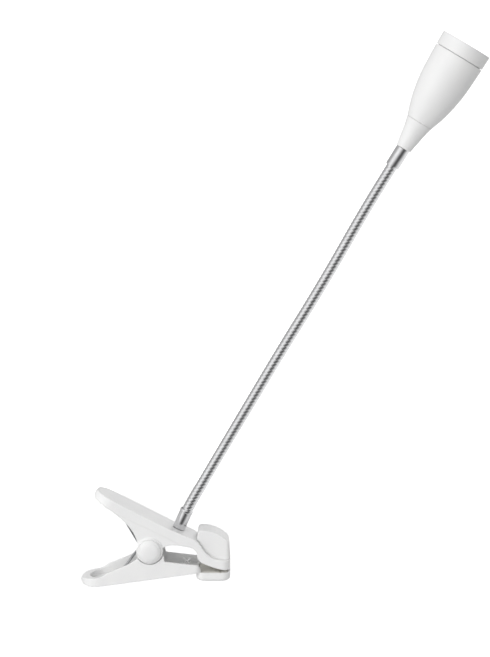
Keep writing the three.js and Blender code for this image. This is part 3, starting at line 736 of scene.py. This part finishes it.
def stage():
    """A table that only lights the lamp from below, and a bright pale floor that fills the view."""
    table_top = floor_material("table_top", 0.60, 0.64, 0.0)
    table = disc("table", TABLE["centre"], TABLE["radius"], FLOOR_Z, table_top)
    table.visible_camera = False
    table.visible_glossy = False
    pale_floor = floor_material("pale_floor", 0.86, 0.88, 1.0)
    floor = disc("floor", FLOOR["centre"], FLOOR["radius"], FLOOR_Z - FLOOR["below_table"], pale_floor)
    floor.visible_glossy = False
    floor.visible_diffuse = False


def area_light(name, place, target, size, power):
    """A rectangular light that doesn't show in the chrome."""
    light = bpy.data.lights.new(name, "AREA")
    light.shape = "RECTANGLE"
    light.size, light.size_y = size
    light.energy = power
    thing = bpy.data.objects.new(name, light)
    thing.location = place
    thing.rotation_euler = (Vector(target) - Vector(place)).to_track_quat("-Z", "Y").to_euler()
    bpy.context.scene.collection.objects.link(thing)
    thing.visible_glossy = False


def lights():
    middle = (0.03, 0, 0.18)
    area_light("key", (-1.1, -1.3, 0.8), middle, (1.8, 1.8), 17.5)
    area_light("rim", (1.3, 0.8, 0.5), middle, (0.6, 1.4), 0.8)
    area_light("back", (0.5, 1.4, 0.4), middle, (1.2, 1.2), 8)
    area_light("fill", (0.1, -1.6, 0.1), (-0.05, 0, 0.03), (1.2, 0.8), 3.8)


def along(tree, direction, axis):
    """How far a direction points along an axis, from -1 to 1."""
    node = tree.nodes.new("ShaderNodeVectorMath")
    node.operation = "DOT_PRODUCT"
    node.inputs[1].default_value = axis
    tree.links.new(direction, node.inputs[0])
    return node.outputs["Value"]


def arithmetic(tree, operation, *values):
    """A maths node; each value is a number or another node's result."""
    node = tree.nodes.new("ShaderNodeMath")
    node.operation = operation
    for socket, value in zip(node.inputs, values):
        if isinstance(value, (int, float)):
            socket.default_value = value
        else:
            tree.links.new(value, socket)
    return node.outputs[0]


def room(tree):
    """What the chrome mirrors: strips of light and dark that run a little aslant beside the arm."""
    direction = tree.nodes.new("ShaderNodeTexCoord").outputs["Generated"]
    lean_x, lean_z = math.sin(ARM_LEAN), math.cos(ARM_LEAN)
    across_arm = along(tree, direction, (lean_z, 0, -lean_x))
    up_arm = along(tree, direction, (lean_x, 0, lean_z))
    nearer = along(tree, direction, (0, -1, 0))
    turn = arithmetic(tree, "ARCTAN2", across_arm, nearer)
    shift = arithmetic(tree, "MULTIPLY_ADD", up_arm, -ROOM["slant"], ROOM["level"] * ROOM["slant"])
    share = arithmetic(tree, "MULTIPLY_ADD", arithmetic(tree, "ADD", turn, shift), 0.5 / math.pi, 0.5)
    ramp = tree.nodes.new("ShaderNodeValToRGB")
    knots = ramp.color_ramp.elements
    first, *between, last = ROOM["shades"]
    made = [(knots[0], first), (knots[1], last)]
    made += [(knots.new(degrees / 360 + 0.5), (degrees, shade)) for degrees, shade in between]
    for knot, (_, shade) in made:
        knot.color = (shade, shade, shade, 1)
    tree.links.new(share, ramp.inputs["Fac"])
    return ramp.outputs["Color"]


def dome(tree):
    """Soft light from all round, strongest from the upper left."""
    direction = tree.nodes.new("ShaderNodeTexCoord").outputs["Generated"]
    shade = tree.nodes.new("ShaderNodeMapRange")
    for side, (reach, strength) in (("Min", DOME["dark"]), ("Max", DOME["bright"])):
        shade.inputs[f"From {side}"].default_value = reach
        shade.inputs[f"To {side}"].default_value = strength
    tree.links.new(along(tree, direction, DOME["from"]), shade.inputs["Value"])
    return shade.outputs["Result"]


def choose(tree, test, otherwise, chosen):
    """The chosen shader for rays that pass the test, and the other for the rest."""
    mix = tree.nodes.new("ShaderNodeMixShader")
    tree.links.new(test, mix.inputs[0])
    tree.links.new(otherwise.outputs[0], mix.inputs[1])
    tree.links.new(chosen.outputs[0], mix.inputs[2])
    return mix


def world():
    """Plain white for the camera, a soft tilted dome for the plastic and a room for the chrome."""
    surroundings = bpy.data.worlds.new("studio")
    surroundings.use_nodes = True
    bpy.context.scene.world = surroundings
    tree = surroundings.node_tree
    tree.nodes.clear()
    out = tree.nodes.new("ShaderNodeOutputWorld")
    seen = add_node(tree, "ShaderNodeBackground", Color=(1, 1, 1, 1), Strength=1.0)
    soft = add_node(tree, "ShaderNodeBackground", Strength=0.6)
    tree.links.new(dome(tree), soft.inputs["Color"])
    mirrored = add_node(tree, "ShaderNodeBackground", Strength=1.12)
    tree.links.new(room(tree), mirrored.inputs["Color"])
    ray = tree.nodes.new("ShaderNodeLightPath")
    around = choose(tree, ray.outputs["Is Glossy Ray"], soft, mirrored)
    shown = choose(tree, ray.outputs["Is Camera Ray"], around, seen)
    tree.links.new(shown.outputs[0], out.inputs["Surface"])


def camera():
    """A little above the lamp's top, looking slightly down, square to the clip's side."""
    data = bpy.data.cameras.new("camera")
    data.lens = CAMERA["lens"]
    data.sensor_width = CAMERA["sensor"]
    thing = bpy.data.objects.new("camera", data)
    thing.location = CAMERA["place"]
    aim = Vector(CAMERA["aim"]) - Vector(thing.location)
    thing.rotation_euler = aim.to_track_quat("-Z", "Y").to_euler()
    bpy.context.scene.collection.objects.link(thing)
    bpy.context.scene.camera = thing
    bpy.context.scene.view_settings.view_transform = "Standard"


camera()
levers()
crossed_ribs()
wall_ridges()
jaw_pads()
pivot_cap("cap_near", "pivot_cap_near", -1)
pivot_cap("cap_far", "pivot_cap_far", 1)
pivot_pin()
torsion_spring()
lower_ferrule()
gooseneck()
upper_ferrule()
head()
small_parts()
stage()
lights()
world()
